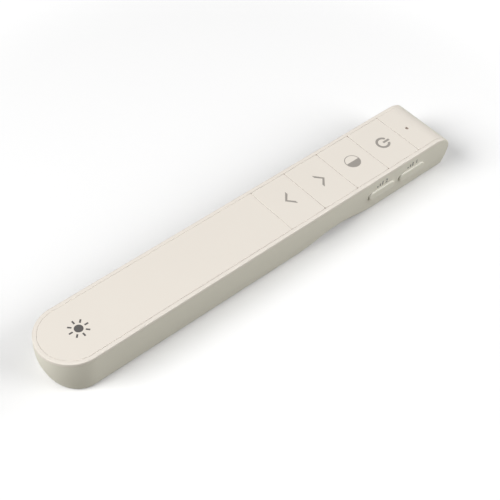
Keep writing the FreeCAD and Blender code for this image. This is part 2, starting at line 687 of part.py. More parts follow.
def switch(x):
    """Upright push switch with a way for its plunger."""
    half = SWITCH_SIZE / 2
    top = BOARD_TOP + SWITCH_BODY_HEIGHT
    body = rounded_block(x - half, x + half, -half, half, BOARD_TOP, top, SWITCH_SHELL)
    seat = top - PLUNGER_SEAT - PLUNGER_FLOOR_GAP
    return body.cut(upright(x, 0, seat, top + BEYOND, PLUNGER_DIAMETER + 2 * PLUNGER_CLEARANCE))


def plunger(x):
    """Plunger of an upright switch, under the key's stem."""
    low = BOARD_TOP + SWITCH_BODY_HEIGHT - PLUNGER_SEAT
    return upright(x, 0, low, SWITCH_TOP, PLUNGER_DIAMETER)


def grip_panel():
    """Long panel over the batteries, its top level with the keys; it sits nearer to the far rim."""
    panel = grip_outline(RIM + PANEL_GAP, PARTING, FACE_TOP, X_GRIP_SEAM - KEY_GAP / 2)
    panel = panel.makeFillet(EDGE_RADIUS, edges_at_height(panel, FACE_TOP))
    return panel.translated(Vector(0, GRIP_PANEL_SHIFT, 0))


def head_panel(outer):
    """Flush panel from the first key over the nose, with the hole for the status light."""
    start = X_HEAD_SEAM + KEY_GAP / 2
    panel = outer.common(block(start, X_NOSE + BEYOND, -PANEL_HALF, PANEL_HALF, PARTING, HEIGHT + BEYOND))
    seam = [edge for edge in edges_at_height(panel, HEIGHT) if edge.BoundBox.XMax < start + 0.001]
    panel = panel.makeFillet(EDGE_RADIUS, seam)
    return panel.cut(upright(X_LED, 0, PARTING - BEYOND, HEIGHT + BEYOND, LED_HOLE_DIAMETER))


def circuit_board():
    """Board with screw holes and notches that clear the side buttons."""
    board = rounded_block(BOARD_TAIL_X, BOARD_NOSE_X, -BOARD_HALF, BOARD_HALF,
                          BOARD_BOTTOM, BOARD_TOP, BOARD_CORNER_RADIUS)
    reach = SIDE_LENGTH / 2 + SIDE_FLANGE + BOARD_NOTCH_CLEARANCE
    depth = SIDE_BOSS_Y + SIDE_TRAVEL + BOARD_NOTCH_CLEARANCE
    for index in range(SIDE_COUNT):
        x = side_x(index)
        board = board.cut(block(x - reach, x + reach, -BOARD_HALF - BEYOND, depth,
                                BOARD_BOTTOM - BEYOND, BOARD_TOP + BEYOND))
    for x, y in board_screw_places():
        board = board.cut(upright(x, y, BOARD_BOTTOM - BEYOND, BOARD_TOP + BEYOND,
                                  SCREW_DIAMETER + 2 * SCREW_THROUGH_CLEARANCE))
    return board


def status_led():
    """Small light on the board, with its lens on top."""
    base = block(X_LED - LED_LENGTH / 2, X_LED + LED_LENGTH / 2, -LED_WIDTH / 2, LED_WIDTH / 2,
                 BOARD_TOP, BOARD_TOP + LED_HEIGHT - LED_LENS_HEIGHT)
    lens = upright(X_LED, 0, BOARD_TOP, BOARD_TOP + LED_HEIGHT, LED_WIDTH)
    return base.fuse(lens).removeSplitter()


def light_pipe():
    """Clear pin from the light up into the hole of the head panel."""
    low = BOARD_TOP + LED_HEIGHT + LED_PIPE_STANDOFF
    collar = upright(X_LED, 0, low, PARTING, LED_PIPE_COLLAR_DIAMETER)
    tip = upright(X_LED, 0, low, HEIGHT - LED_PIPE_RECESS, LED_HOLE_DIAMETER - 2 * LED_PIPE_CLEARANCE)
    return collar.fuse(tip).removeSplitter()


def radio_chip():
    """Controller and radio in one package, under the gap between two keys."""
    x = X_HEAD_SEAM - KEY_PITCH * 2
    return block(x - CHIP_WIDTH / 2, x + CHIP_WIDTH / 2, -CHIP_LENGTH / 2, CHIP_LENGTH / 2,
                 BOARD_TOP, BOARD_TOP + CHIP_HEIGHT)


def crystal():
    """Timing crystal beside the chip."""
    x = X_HEAD_SEAM - KEY_PITCH * 2
    y = CHIP_LENGTH / 2 + CRYSTAL_SPACING
    can = block(x - CRYSTAL_LENGTH / 2, x + CRYSTAL_LENGTH / 2, y, y + CRYSTAL_WIDTH,
                BOARD_TOP, BOARD_TOP + CRYSTAL_HEIGHT)
    return can.makeFillet(CRYSTAL_END_RADIUS, [edge for edge in can.Edges if is_upright(edge)])


def capacitor():
    """Round capacitor between the battery leads."""
    top = BOARD_TOP + CAPACITOR_HEIGHT
    can = upright(X_GRIP_SEAM + CAPACITOR_FROM_SEAM, 0, BOARD_TOP, top, CAPACITOR_DIAMETER)
    return can.makeChamfer(CAPACITOR_EDGE_BEVEL, edges_at_height(can, top))


def cell(nub_x, y, towards):
    """One cell from its nub's tip, lying along X; towards is the way that the nub points."""
    along = Vector(-towards, 0, 0)
    body_end = Vector(nub_x - towards * CELL_NUB_LENGTH, y, CELL_Z)
    body = Part.makeCylinder(CELL_DIAMETER / 2, CELL_LENGTH - CELL_NUB_LENGTH, body_end, along)
    body = body.makeChamfer(CELL_EDGE_BEVEL, [edge for edge in body.Edges if edge.BoundBox.XLength < 0.001])
    nub = Part.makeCylinder(CELL_NUB_DIAMETER / 2, 2 * CELL_NUB_LENGTH, Vector(nub_x, y, CELL_Z), along)
    return body.fuse(nub).removeSplitter()


def contact_bow(plate_x, y, towards):
    """Bowed tongue of a contact plate, which presses on the flat end of a cell."""
    side = y - BOW_WIDTH / 2
    crown = Vector(plate_x + towards * (BOW_REACH - BOW_END_GAP), side, CELL_Z)
    low = Vector(plate_x, side, CELL_Z - BOW_SPAN / 2)
    high = Vector(plate_x, side, CELL_Z + BOW_SPAN / 2)
    inward = Vector(-towards * BOW_THICKNESS, 0, 0)
    step = Vector(0, 0, BOW_THICKNESS)
    outside = Part.Arc(low, crown, high).toShape()
    inside = Part.Arc(high - step, crown + inward, low + step).toShape()
    ends = [Part.makeLine(high, high - step), Part.makeLine(low + step, low)]
    outline = Part.Wire(Part.sortEdges([outside, inside] + ends)[0])
    return Part.Face(outline).extrude(Vector(0, BOW_WIDTH, 0))


def head_contact(y):
    """Contact plate on the bay's head wall, with its tail through the wall onto the board."""
    plate = block(BAY_HEAD - CONTACT_THICKNESS, BAY_HEAD, y - CONTACT_WIDTH / 2, y + CONTACT_WIDTH / 2,
                  CONTACT_BOTTOM, CONTACT_TOP)
    half = CONTACT_TAIL_WIDTH / 2
    tail = block(BAY_HEAD - CONTACT_THICKNESS, BOARD_TAIL_X + CONTACT_TAIL_ON_BOARD, y - half, y + half,
                 BOARD_TOP, BOARD_TOP + CONTACT_THICKNESS)
    return plate.fuse(tail).removeSplitter()


def bowed_head_contact(y):
    """The same plate with a bow for a cell's flat end."""
    bow = contact_bow(BAY_HEAD - CONTACT_THICKNESS, y, -1)
    return head_contact(y).fuse(bow).removeSplitter()


def bridge_contact():
    """Plate at the bay's tail wall that joins the two cells, with a bow for the near cell."""
    reach = CELL_Y + CONTACT_WIDTH / 2
    plate = block(BAY_TAIL, BAY_TAIL + CONTACT_THICKNESS, -reach, reach, CONTACT_BOTTOM, CONTACT_TOP)
    return plate.fuse(contact_bow(BAY_TAIL + CONTACT_THICKNESS, -CELL_Y, 1)).removeSplitter()


def door_arrow():
    """Arrowhead sunk into the underside of the door, past the latch; it shows which way to push."""
    x = DOOR_TAIL + LATCH_LENGTH + ARROW_FROM_LATCH
    half = ARROW_WIDTH / 2
    corners = [Vector(x, -half, -BEYOND), Vector(x + ARROW_LENGTH, 0, -BEYOND), Vector(x, half, -BEYOND)]
    head = Part.Face(Part.makePolygon(corners + corners[:1]))
    return head.extrude(Vector(0, 0, BEYOND + ARROW_DEPTH))


def battery_door(outer):
    """Door over the bay: it follows the rounded underside and turns on a tab at its head end."""
    plate = outer.common(door_plan(0)).cut(hull(WALL))
    tab_low = SHELF_BOTTOM
    tab_high = tab_low + DOOR_TAB_THICKNESS
    tab_half = DOOR_TAB_WIDTH / 2
    root_x = DOOR_HEAD - DOOR_TAB_ROOT
    tab = block(root_x, DOOR_HEAD + DOOR_TAB_LENGTH, -tab_half, tab_half, tab_low, tab_high)
    root = block(root_x, DOOR_HEAD, -tab_half, tab_half, WALL / 2, tab_high)
    plate = plate.fuse([tab, root])
    slot_half = LATCH_SLOT / 2
    for y in (-LATCH_WIDTH / 2 - slot_half, LATCH_WIDTH / 2 + slot_half):
        plate = plate.cut(block(DOOR_TAIL - BEYOND, DOOR_TAIL + LATCH_LENGTH,
                                y - slot_half, y + slot_half, -BEYOND, CAVITY_STRAIGHT_FROM))
    for index in range(LATCH_GRIP_RIDGES):
        x = DOOR_TAIL + LATCH_GRIP_PITCH * (index + 1)
        plate = plate.cut(block(x, x + LATCH_GRIP_GROOVE, -LATCH_GRIP_WIDTH / 2, LATCH_GRIP_WIDTH / 2,
                                -BEYOND, LATCH_GRIP_DEPTH))
    return plate.cut(door_arrow()).removeSplitter()


def screw(x, y, head_z, seat_z, tip_z):
    """Self-tapping screw driven upwards, with a cross recess in its head."""
    head = upright(x, y, head_z, seat_z, SCREW_HEAD_DIAMETER)
    shank = upright(x, y, seat_z, tip_z, SCREW_DIAMETER)
    body = head.fuse(shank).removeSplitter()
    reach = SCREW_DRIVE_LENGTH / 2
    half = SCREW_DRIVE_WIDTH / 2
    top = head_z + SCREW_DRIVE_DEPTH
    for far_x, far_y in ((reach, half), (half, reach)):
        body = body.cut(block(x - far_x, x + far_x, y - far_y, y + far_y, head_z - BEYOND, top))
    return body


def board_screws():
    """The screws that hold the board to the frame's posts."""
    head_z = BOARD_BOTTOM - SCREW_HEAD_HEIGHT
    tip_z = BOARD_TOP + SCREW_BITE
    return Part.makeCompound([screw(x, y, head_z, BOARD_BOTTOM, tip_z) for x, y in board_screw_places()])


def housing_screws():
    """The screws that hold the two housing halves together."""
    head_z = SHELF_BOTTOM + SCREW_HEAD_CLEARANCE
    seat_z = head_z + SCREW_HEAD_HEIGHT
    tip_z = BOSS_TOP + SCREW_BITE
    return Part.makeCompound([screw(x, y, head_z, seat_z, tip_z) for x, y in housing_screw_places()])


def all_pieces():
    """Every node and its shape."""
    outer = outer_form()
    pieces = {
        "bottom_shell": bottom_shell(outer),
        "top_frame": top_frame(outer),
        "grip_panel": grip_panel(),
        "head_panel": head_panel(outer),
        "battery_door": battery_door(outer),
        "circuit_board": circuit_board(),
        "status_led": status_led(),
        "light_pipe": light_pipe(),
        "radio_chip": radio_chip(),
        "crystal": crystal(),
        "capacitor": capacitor(),
        "cell_near": cell(BAY_HEAD - CONTACT_THICKNESS, -CELL_Y, 1),
        "cell_far": cell(BAY_TAIL + CONTACT_THICKNESS, CELL_Y, -1),
        "contact_positive": head_contact(-CELL_Y),
        "contact_negative": bowed_head_contact(CELL_Y),
        "contact_bridge": bridge_contact(),
        "board_screws": board_screws(),
        "housing_screws": housing_screws(),
    }
    for index, name in enumerate(KEY_NAMES):
        pieces["key_" + name] = key(key_x(index))
        pieces["switch_" + name] = switch(key_x(index))
        pieces["plunger_" + name] = plunger(key_x(index))
    for index in range(SIDE_COUNT):
        number = str(index + 1)
        pieces["side_button_" + number] = side_button(side_x(index))
        pieces["side_switch_" + number] = side_switch(side_x(index))
        pieces["side_plunger_" + number] = side_plunger(side_x(index))
    return pieces


def main():
    """Write one STEP file for each node."""
    os.makedirs("parts", exist_ok=True)
    for name, shape in all_pieces().items():
        placed = shape.translated(TO_ORIGIN)
        placed.exportStep("parts/" + name + ".step")
        print(name, len(placed.Solids), "solids", round(placed.Volume, 1), "mm3, valid", placed.isValid())
    print("overall", LENGTH, WIDTH + SIDE_PROUD, HEIGHT)


main()
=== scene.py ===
"""Wand remote for a dimmable LED light: finishes, printed symbols, studio and camera."""
import math

import bpy
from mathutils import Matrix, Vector


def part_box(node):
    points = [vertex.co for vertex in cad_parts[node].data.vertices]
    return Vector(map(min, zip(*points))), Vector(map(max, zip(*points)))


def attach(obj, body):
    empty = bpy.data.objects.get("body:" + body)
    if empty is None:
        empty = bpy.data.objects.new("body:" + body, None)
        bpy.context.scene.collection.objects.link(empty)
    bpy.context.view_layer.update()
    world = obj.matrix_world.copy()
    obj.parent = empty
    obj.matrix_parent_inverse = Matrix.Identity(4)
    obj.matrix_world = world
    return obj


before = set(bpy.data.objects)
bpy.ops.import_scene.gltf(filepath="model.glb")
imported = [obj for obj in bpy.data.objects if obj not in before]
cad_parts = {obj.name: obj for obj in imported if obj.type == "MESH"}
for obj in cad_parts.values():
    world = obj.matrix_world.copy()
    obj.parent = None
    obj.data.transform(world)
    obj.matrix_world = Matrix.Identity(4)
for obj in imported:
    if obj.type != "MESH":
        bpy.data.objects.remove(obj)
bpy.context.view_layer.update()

MM = 0.001

# The housing's middle plane. The side buttons stand proud on one side, so the box's middle is beside it.
MIDDLE_Y = 0.3 * MM

# Printed marks on the key face
INK_THICKNESS = 0.02 * MM
RING_POINTS = 120
DISC_POINTS = 96
POWER_RING_OUTSIDE = 2.8 * MM
POWER_RING_INSIDE = 1.85 * MM
POWER_RING_GAP_DEGREES = 27.0
POWER_BAR_START = 0.15 * MM
POWER_BAR_END = 3.15 * MM
POWER_BAR_WIDTH = 0.9 * MM
DIM_RADIUS = 3.1 * MM
DIM_LINE = 0.28 * MM
CHEVRON_HALF_SPAN = 3.43 * MM
CHEVRON_DEPTH = 3.25 * MM
CHEVRON_STROKE = 0.86 * MM
CHEVRON_BLUNT = 0.22 * MM

# Each key mark's place along X, and its distance from the middle plane
MARK_PLACES = {"power": (64.4 * MM, 0.0), "dim": (48.55 * MM, 0.0),
               "up": (31.62 * MM, 0.36 * MM), "down": (18.6 * MM, 0.36 * MM)}

# Sun mark near the round end
SUN_X = -73.5 * MM
SUN_DISC = 1.55 * MM
SUN_RAY_START = 2.3 * MM
SUN_RAY_END = 3.7 * MM
SUN_RAY_WIDTH = 0.6 * MM
SUN_RAYS = 8

# Turns that lay a flat mark on the key face and on the near side
FACE_UP = (0, 0, 0)
FACE_NEAR = (math.pi / 2, 0, 0)

# Printed level bars and numbers on the near side
LABEL_Z = 12.5 * MM
NUMBER_HEIGHT = 1.8 * MM
NUMBER_SHARE_OF_FONT = 0.7
NUMBER_BOLDNESS = 0.05 * MM
NUMBER_FROM_MIDDLE = 2.3 * MM
LEVEL_BARS = (0.7 * MM, 1.25 * MM, 1.8 * MM)
LEVEL_WIDTH = 0.62 * MM
LEVEL_PITCH = 1.25 * MM
LEVEL_START = -2.6 * MM

# Painted shade in the seams round the keys: how far below the top it starts, and how strongly it lies
SEAM_SHADE_START = 0.08 * MM
SEAM_REACH = 0.3 * MM
SEAM_SHADE_COLOUR = (0.41, 0.30, 0.23)
SEAM_SHADE_LEAST = 0.35
SEAM_SHADE_MOST = 0.7

# Painted highlight on the side buttons' rounded edges, as distances behind their faces, and its colour
EDGE_HIGHLIGHT_FROM = 0.04 * MM
EDGE_HIGHLIGHT_TO = 0.3 * MM
EDGE_HIGHLIGHT_COLOUR = (0.90, 0.88, 0.80)

# The light's body and lens, the capacitor's dark sector, and the cells' plus and minus ends along X
LENS_Z = 7.85 * MM
LENS_SHADE = (0.85, 0.68, 0.22)
SECTOR_FROM_X = 10.8 * MM
SECTOR_SHADE = (0.02, 0.02, 0.03)
CELL_ENDS = {"cell_near": (1.1 * MM, -42.6 * MM), "cell_far": (-45.4 * MM, -1.7 * MM)}
CELL_BAND = 9.0 * MM
CELL_RIM = 0.35 * MM
JACKET_SHADE = (0.46, 0.47, 0.48)
BAND_SHADE = (0.045, 0.085, 0.17)
JACKET_LESS_METALLIC = 0.7

# Circuit board: bare laminate within BOARD_EDGE of its middle level, tracks and pads on its two faces
BOARD_LOW = 5.4 * MM
BOARD_HIGH = 7.0 * MM
BOARD_EDGE = 0.75 * MM
TRACK_PITCH = 1.27 * MM
TRACK_HALF = 0.2 * MM
PAD_RADIUS = 0.42 * MM
LONG_RUN = 6 * TRACK_PITCH
SHORT_RUN = 3 * TRACK_PITCH
LONG_SHARE = 0.6
SHORT_SHARE = 0.3
PAD_SHARE = 0.12
LONG_SEED = 1.0
SHORT_SEED = 2.0
PAD_SEED = 3.0
TRACK_RELIEF = 0.03 * MM
TRACK_SHADE = (0.022, 0.185, 0.07)
TIN_SHADE = (0.58, 0.57, 0.53)
LAMINATE_SHADE = (0.42, 0.36, 0.16)

# Noise scales, in features to the metre, and their detail
SHADE_SCALE = 45
SHADE_DETAIL = 3
GRAIN_SCALE = 5200
LINE_SCALE = (300, 9000, 9000)
LINE_DETAIL = 3
CLOUD_SCALE = 420
CLOUD_DETAIL = 4
SEAM_SHADE_SCALE = 400

# Skins: light and dark shade, least and most roughness
IVORY = ((0.788, 0.765, 0.668), (0.768, 0.745, 0.648), 0.6, 0.7)
CREAM = ((0.84, 0.785, 0.71), (0.82, 0.765, 0.69), 0.62, 0.72)
SOLDER_MASK = ((0.012, 0.125, 0.05), (0.008, 0.095, 0.038), 0.22, 0.34)
SMOKED_PLASTIC = ((0.58, 0.47, 0.40), (0.48, 0.38, 0.32), 0.1, 0.25)
ALUMINIUM = ((0.80, 0.80, 0.81), (0.64, 0.64, 0.66), 0.25, 0.4)
CELL_STEEL = ((0.62, 0.61, 0.59), (0.50, 0.49, 0.47), 0.22, 0.34)

# Plastics: name, light and dark shade, least and most roughness, depth of the relief
MOULDED = {
    "shell": ("ivory housing", *IVORY, 0.01 * MM),
    "button": ("ivory side button", *IVORY, 0.01 * MM),
    "face": ("cream key face", *CREAM, 0.01 * MM),
    "key": ("cream key cap", *CREAM, 0.01 * MM),
    "light": ("light body and lens", (0.82, 0.82, 0.79), (0.72, 0.72, 0.69), 0.3, 0.45, 0.005 * MM),
    "grey_ink": ("grey ink", (0.38, 0.352, 0.32), (0.36, 0.332, 0.30), 0.4, 0.5, 0.004 * MM),
    "dark_ink": ("dark ink", (0.145, 0.135, 0.13), (0.12, 0.115, 0.11), 0.4, 0.5, 0.004 * MM),
    "label_ink": ("label ink", (0.20, 0.195, 0.18), (0.17, 0.165, 0.15), 0.4, 0.5, 0.004 * MM),
    "switch": ("black switch body", (0.022, 0.022, 0.024), (0.014, 0.014, 0.016), 0.35, 0.5, 0.01 * MM),
    "plunger": ("grey plunger", (0.30, 0.30, 0.31), (0.25, 0.25, 0.26), 0.3, 0.42, 0.01 * MM),
    "chip": ("chip resin", (0.028, 0.028, 0.030), (0.018, 0.018, 0.020), 0.45, 0.62, 0.02 * MM),
}

# Metals, in the same way
ROLLED = {
    "nickel": ("nickel plate", (0.72, 0.69, 0.63), (0.58, 0.55, 0.50), 0.18, 0.32, 0.006 * MM),
    "screw": ("zinc plated steel", (0.66, 0.67, 0.69), (0.48, 0.49, 0.51), 0.25, 0.42, 0.006 * MM),
    "crystal": ("crystal can", (0.78, 0.77, 0.74), (0.66, 0.65, 0.62), 0.16, 0.28, 0.004 * MM),
}
CAN_RELIEF = 0.004 * MM
CELL_RELIEF = 0.003 * MM
PIN_RELIEF = 0.003 * MM
PIN_TRANSMISSION = 0.35
PIN_IOR = 1.49

# Camera, from the fit of the outline
CAMERA_PLACE = (-190.83 * MM, -196.01 * MM, 311.48 * MM)
CAMERA_TURN = (41.3835, -2.6777, -41.0954)
CAMERA_LENS = 83.67
SENSOR = 36.0
NEAREST_SEEN = 0.01

# Studio: each soft lamp's place and width in metres, and its power in watts
LAMPS = {
    "left_softbox": ((-1.05, 0.3, 0.85), 0.9, 18.1),
    "near_softbox": ((0.52, -0.75, 0.58), 0.8, 6.3),
    "head_softbox": ((1.0, -0.25, 0.6), 0.6, 3.5),
}
SURROUNDING = 0.1
FLOOR_SIZE = 6
FLOOR_BOUNCE = (0.23, 0.218, 0.184)
FLOOR_FADE = (0.13, 0.38)
WHITE = (1, 1, 1, 1)


def only(piece):
    """Selects one object and makes it active."""
    bpy.ops.object.select_all(action="DESELECT")
    piece.select_set(True)
    bpy.context.view_layer.objects.active = piece


def settle(piece):
    """Puts a new piece's place, turn and size into its mesh."""
    only(piece)
    bpy.ops.object.transform_apply(location=True, rotation=True, scale=True)


def named(piece, name):
    """Names a new piece and puts its place into its mesh."""
    settle(piece)
    piece.name = name
    piece.data.name = name
    return piece


def join(pieces, name):
    """Several new pieces made one."""
    bpy.ops.object.select_all(action="DESELECT")
    for piece in pieces:
        piece.select_set(True)
    bpy.context.view_layer.objects.active = pieces[0]
    bpy.ops.object.join()
    return named(pieces[0], name)


def cut_off(piece, place, away):
    """Cuts a piece along a plane and drops what lies on the side that the plane looks to."""
    only(piece)
    bpy.ops.object.mode_set(mode="EDIT")
    bpy.ops.mesh.select_all(action="SELECT")
    bpy.ops.mesh.bisect(plane_co=place, plane_no=away, clear_outer=True)
    bpy.ops.object.mode_set(mode="OBJECT")


def give_thickness(piece, thickness):
    """Turns a flat outline into a film that stands up from where it was drawn."""
    only(piece)
    solid = piece.modifiers.new("thickness", "SOLIDIFY")
    solid.thickness = thickness
    solid.offset = 1.0
    bpy.ops.object.modifier_apply(modifier=solid.name)


def mirror_over_x(piece):
    """Keeps the +Y half of a flat piece and adds its mirror image."""
    only(piece)
    mirror = piece.modifiers.new("other half", "MIRROR")
    mirror.use_axis = (False, True, False)
    mirror.use_bisect_axis = (False, True, False)
    bpy.ops.object.modifier_apply(modifier=mirror.name)


def flat_ring(outside, inside, gap_degrees):
    """Flat ring about the origin, with a gap of so many degrees each side of +X."""
    bpy.ops.object.select_all(action="DESELECT")
    bpy.ops.mesh.primitive_circle_add(vertices=RING_POINTS, radius=outside, fill_type="NOTHING")
    ring = bpy.context.object
    bpy.ops.object.mode_set(mode="EDIT")
    bpy.ops.mesh.select_all(action="SELECT")
    bpy.ops.mesh.extrude_edges_move()
    share = inside / outside
    bpy.ops.transform.resize(value=(share, share, 1), center_override=(0, 0, 0))
    bpy.ops.mesh.select_mode(type="FACE")
    bpy.ops.mesh.select_all(action="DESELECT")
    bpy.ops.object.mode_set(mode="OBJECT")
    gap = math.radians(gap_degrees)
    for face in ring.data.polygons:
        face.select = abs(math.atan2(face.center.y, face.center.x)) < gap
    bpy.ops.object.mode_set(mode="EDIT")
    bpy.ops.mesh.delete(type="FACE")
    bpy.ops.mesh.select_all(action="SELECT")
    bpy.ops.mesh.normals_make_consistent(inside=False)
    bpy.ops.object.mode_set(mode="OBJECT")
    return ring


def flat_bar(x_low, x_high, y_low, y_high):
    """Flat bar between two corners."""
    bpy.ops.object.select_all(action="DESELECT")
    middle = ((x_low + x_high) / 2, (y_low + y_high) / 2, 0)
    bpy.ops.mesh.primitive_plane_add(size=1, location=middle)
    bar = bpy.context.object
    bar.scale = (x_high - x_low, y_high - y_low, 1)
    settle(bar)
    return bar


def flat_disc(radius):
    """Flat disc about the origin."""
    bpy.ops.object.select_all(action="DESELECT")
    bpy.ops.mesh.primitive_circle_add(vertices=DISC_POINTS, radius=radius, fill_type="NGON")
    return bpy.context.object


def power_mark():
    """Open ring with a bar through its gap."""
    ring = flat_ring(POWER_RING_OUTSIDE, POWER_RING_INSIDE, POWER_RING_GAP_DEGREES)
    half = POWER_BAR_WIDTH / 2
    bar = flat_bar(POWER_BAR_START, POWER_BAR_END, -half, half)
    return join([ring, bar], "power_mark")


def dim_mark():
    """Thin ring, its near half filled."""
    ring = flat_ring(DIM_RADIUS, DIM_RADIUS - DIM_LINE, 0)
    disc = flat_disc(DIM_RADIUS - DIM_LINE)
    cut_off(disc, (0, 0, 0), (0, 1, 0))
    return join([ring, disc], "dim_mark")


def chevron_mark(name, points_to):
    """Chevron with its point towards +X or -X, its ends cut square to X and its point blunted."""
    slope = math.atan2(CHEVRON_HALF_SPAN, CHEVRON_DEPTH)
    # The bar is longer than the arm at both ends, and the cuts below bring it to length
    arm = flat_bar(-CHEVRON_DEPTH, 3 * CHEVRON_DEPTH, 0, CHEVRON_STROKE)
    arm.rotation_euler = (0, 0, math.pi - slope)
    settle(arm)
    arm.location = (CHEVRON_DEPTH, 0, 0)
    settle(arm)
    cut_off(arm, (0, 0, 0), (-1, 0, 0))
    cut_off(arm, (CHEVRON_DEPTH - CHEVRON_BLUNT, 0, 0), (1, 0, 0))
    mirror_over_x(arm)
    if points_to < 0:
        arm.rotation_euler = (0, 0, math.pi)
    return named(arm, name)


def sun_mark():
    """Small sun: a disc and short rays, in the plain place near the round end."""
    parts = [flat_disc(SUN_DISC)]
    half = SUN_RAY_WIDTH / 2
    for index in range(SUN_RAYS):
        ray = flat_bar(SUN_RAY_START, SUN_RAY_END, -half, half)
        ray.rotation_euler = (0, 0, 2 * math.pi * index / SUN_RAYS)
        settle(ray)
        parts.append(ray)
    return join(parts, "sun_mark")


def print_on(mark, place, turn, body, ink):
    """Lays a flat mark on a face as a film of ink."""
    give_thickness(mark, INK_THICKNESS)
    mark.rotation_euler = turn
    mark.location = place
    settle(mark)
    mark.data.materials.append(ink)
    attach(mark, body)


def side_label(number):
    """Three rising level bars and a number, standing on a common line."""
    foot = -NUMBER_HEIGHT / 2
    bpy.ops.object.select_all(action="DESELECT")
    bpy.ops.object.text_add(location=(NUMBER_FROM_MIDDLE, foot, 0))
    digit = bpy.context.object
    digit.data.body = number
    digit.data.size = NUMBER_HEIGHT / NUMBER_SHARE_OF_FONT
    digit.data.offset = NUMBER_BOLDNESS
    digit.data.align_x = "CENTER"
    bpy.ops.object.convert(target="MESH")
    parts = [bpy.context.object]
    for index, height in enumerate(LEVEL_BARS):
        start = LEVEL_START + LEVEL_PITCH * index
        parts.append(flat_bar(start, start + LEVEL_WIDTH, foot, foot + height))
    return join(parts, "side_label_" + number)


class Nodes:
    """A node tree with short ways to add and join nodes."""

    def __init__(self, tree):
        self.tree = tree

    def add(self, kind, **settings):
        """New node with plain settings."""
        node = self.tree.nodes.new(kind)
        for name, value in settings.items():
            setattr(node, name, value)
        return node

    def put(self, value, socket):
        """Joins an output to an input, or sets the input to a plain value."""
        if isinstance(value, bpy.types.NodeSocket):
            self.tree.links.new(value, socket)
        else:
            socket.default_value = value

    def maths(self, operation, *values):
        """Math node; returns its result."""
        node = self.add("ShaderNodeMath", operation=operation)
        for value, socket in zip(values, node.inputs):
            self.put(value, socket)
        return node.outputs[0]

    def mix(self, factor, first, second):
        """Mix of two colours."""
        node = self.add("ShaderNodeMix", data_type="RGBA")
        self.put(factor, node.inputs["Factor"])
        self.put(first, node.inputs["A"])
        self.put(second, node.inputs["B"])
        return node.outputs["Result"]

    def place(self):
        """Object coordinates: the vector and its three parts."""
        node = self.add("ShaderNodeTexCoord")
        parts = self.add("ShaderNodeSeparateXYZ")
        self.put(node.outputs["Object"], parts.inputs[0])
        return node.outputs["Object"], parts.outputs["X"], parts.outputs["Y"], parts.outputs["Z"]

    def stretched(self, vector, scale):
        """The same vector, scaled along each axis."""
        node = self.add("ShaderNodeMapping")
        node.inputs["Scale"].default_value = scale
        self.put(vector, node.inputs["Vector"])
        return node.outputs["Vector"]

    def noise(self, vector, scale, detail=2.0):
        """Noise value at a scale."""
        node = self.add("ShaderNodeTexNoise")
        node.inputs["Scale"].default_value = scale
        node.inputs["Detail"].default_value = detail
        self.put(vector, node.inputs["Vector"])
        return node.outputs["Fac"]

    def step_of(self, value, pitch):
        """Number of the step that a value falls in."""
        return self.maths("FLOOR", self.maths("DIVIDE", value, pitch))

    def off_middle(self, value, pitch):
        """Distance of a value from the middle of its step."""
        within = self.maths("FLOORED_MODULO", value, pitch)
        return self.maths("ABSOLUTE", self.maths("SUBTRACT", within, pitch / 2))

    def chosen(self, first, second, seed, share):
        """1 for a random share of the pairs of step numbers, 0 for the rest."""
        pair = self.add("ShaderNodeCombineXYZ")
        for value, socket in zip((first, second, seed), pair.inputs):
            self.put(value, socket)
        lot = self.add("ShaderNodeTexWhiteNoise", noise_dimensions="3D")
        self.put(pair.outputs["Vector"], lot.inputs["Vector"])
        return self.maths("LESS_THAN", lot.outputs["Value"], share)

    def ramp(self, value, low, high):
        """0 below one limit, 1 above the other and a slope between them."""
        node = self.add("ShaderNodeMapRange", interpolation_type="SMOOTHSTEP")
        self.put(value, node.inputs["Value"])
        self.put(low, node.inputs["From Min"])
        self.put(high, node.inputs["From Max"])
        return node.outputs["Result"]

    def span(self, value, low, high):
        """A value from 0 to 1 spread between two limits."""
        node = self.add("ShaderNodeMapRange")
        self.put(value, node.inputs["Value"])
        self.put(low, node.inputs["To Min"])
        self.put(high, node.inputs["To Max"])
        return node.outputs["Result"]


def new_group(name, inputs, outputs):
    """Empty shader node group with its sockets."""
    group = bpy.data.node_groups.new(name, "ShaderNodeTree")
    for label, kind in inputs:
        group.interface.new_socket(label, in_out="INPUT", socket_type=kind)
    for label, kind in outputs:
        group.interface.new_socket(label, in_out="OUTPUT", socket_type=kind)
    nodes = Nodes(group)
    return group, nodes, nodes.add("NodeGroupInput"), nodes.add("NodeGroupOutput")


SKIN_INPUTS = (("Light", "NodeSocketColor"), ("Dark", "NodeSocketColor"),
               ("Smooth", "NodeSocketFloat"), ("Rough", "NodeSocketFloat"))
SKIN_OUTPUTS = (("Color", "NodeSocketColor"), ("Roughness", "NodeSocketFloat"),
                ("Height", "NodeSocketFloat"))


def join_skin(nodes, given, out, shade, roughness, height):
    """Turns three masks into a skin group's colour, roughness and height."""
    nodes.put(nodes.mix(shade, given.outputs["Dark"], given.outputs["Light"]), out.inputs["Color"])
    spread = nodes.span(roughness, given.outputs["Smooth"], given.outputs["Rough"])
    nodes.put(spread, out.inputs["Roughness"])
    nodes.put(height, out.inputs["Height"])


def grain_group():
    """Moulded plastic: a slow change of shade, fine grain and a roughness that wavers."""
    group, nodes, given, out = new_group("moulded grain", SKIN_INPUTS, SKIN_OUTPUTS)
    vector = nodes.place()[0]
    shade = nodes.noise(vector, SHADE_SCALE, SHADE_DETAIL)
    grain = nodes.noise(vector, GRAIN_SCALE)
    join_skin(nodes, given, out, shade, grain, grain)
    return group


